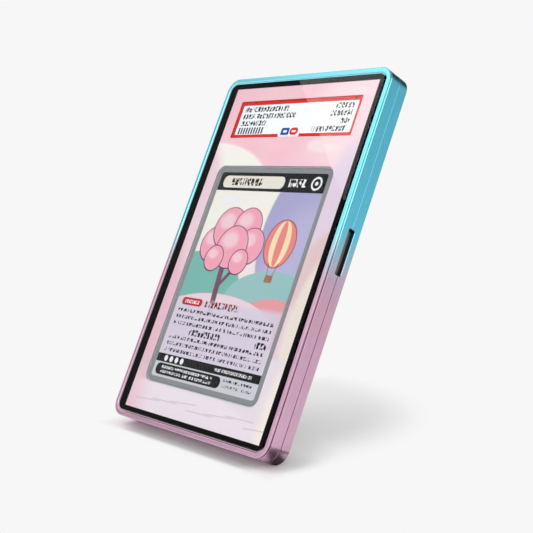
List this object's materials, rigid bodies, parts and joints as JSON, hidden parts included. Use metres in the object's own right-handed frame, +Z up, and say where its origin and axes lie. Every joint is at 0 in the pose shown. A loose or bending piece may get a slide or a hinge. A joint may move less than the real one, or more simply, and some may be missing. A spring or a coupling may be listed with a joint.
{
  "type": "trading card display case",
  "caption": "Slim metal-framed case that leans back on a fold-out stand and shows a sealed trading card behind a clear pane with a printed surround.",
  "frame": {"origin": "middle of the surface under the case, at the centre of its standing box", "axes": "+Z up, -Y towards the side that the pane faces, +X to the right as seen from the front"},
  "size_m": [0.0882, 0.0698, 0.1332],
  "materials": {
    "anodised_metal": "brushed and anodised, cyan at the top running into pink",
    "black_metal": "satin black coating",
    "black_plastic": "fine moulded grain",
    "tape": "adhesive film",
    "black_foam": "fine closed-cell foam",
    "magnet": "nickel plated",
    "steel": "bright zinc plated",
    "washer": "natural nylon",
    "clear_acrylic": "clear, polished",
    "border_ink": "black print on clear film",
    "art_ink": "pastel print on clear film",
    "clear_shell": "clear moulded",
    "frosted_plastic": "frosted",
    "card": "printed and varnished",
    "label": "printed, red border",
    "foot_rubber": "matte"
  },
  "bodies": {
    "case": {"rear_frame": "anodised_metal", "rear_tray": "black_plastic", "tray_tape": "tape", "foam_pad": "black_foam", "case_magnets": "magnet", "stand_bracket": "steel", "bracket_screws": "steel", "hinge_pin": "steel"},
    "cover": {"front_frame": "anodised_metal", "front_pane": "clear_acrylic", "border_print": "border_ink", "art_print": "art_ink", "pane_tape": "tape", "front_liner": "black_plastic", "cover_magnets": "magnet"},
    "slab": {"slab_front_shell": "clear_shell", "slab_rear_shell": "clear_shell", "card_gasket": "frosted_plastic", "card": "card", "label": "label"},
    "stand": {"stand_leg": "black_metal", "foot_pad": "foot_rubber", "friction_washers": "washer"}
  },
  "joints": [
    {"name": "cover_lift", "type": "slide", "parent": "case", "child": "cover", "axis": [0, -0.9048, 0.4258], "range_m": [0, 0.04]},
    {"name": "slab_lift", "type": "slide", "parent": "case", "child": "slab", "axis": [0, -0.9048, 0.4258], "range_m": [0, 0.02]},
    {"name": "stand_fold", "type": "hinge", "parent": "case", "child": "stand", "pos_m": [0, 0.00561, 0.06949], "axis": [1, 0, 0], "range_deg": [-33.2, 0]}
  ],
  "couplings": [
    {"joint": "slab_lift", "follows": "cover_lift", "ratio": 0.5}
  ]
}
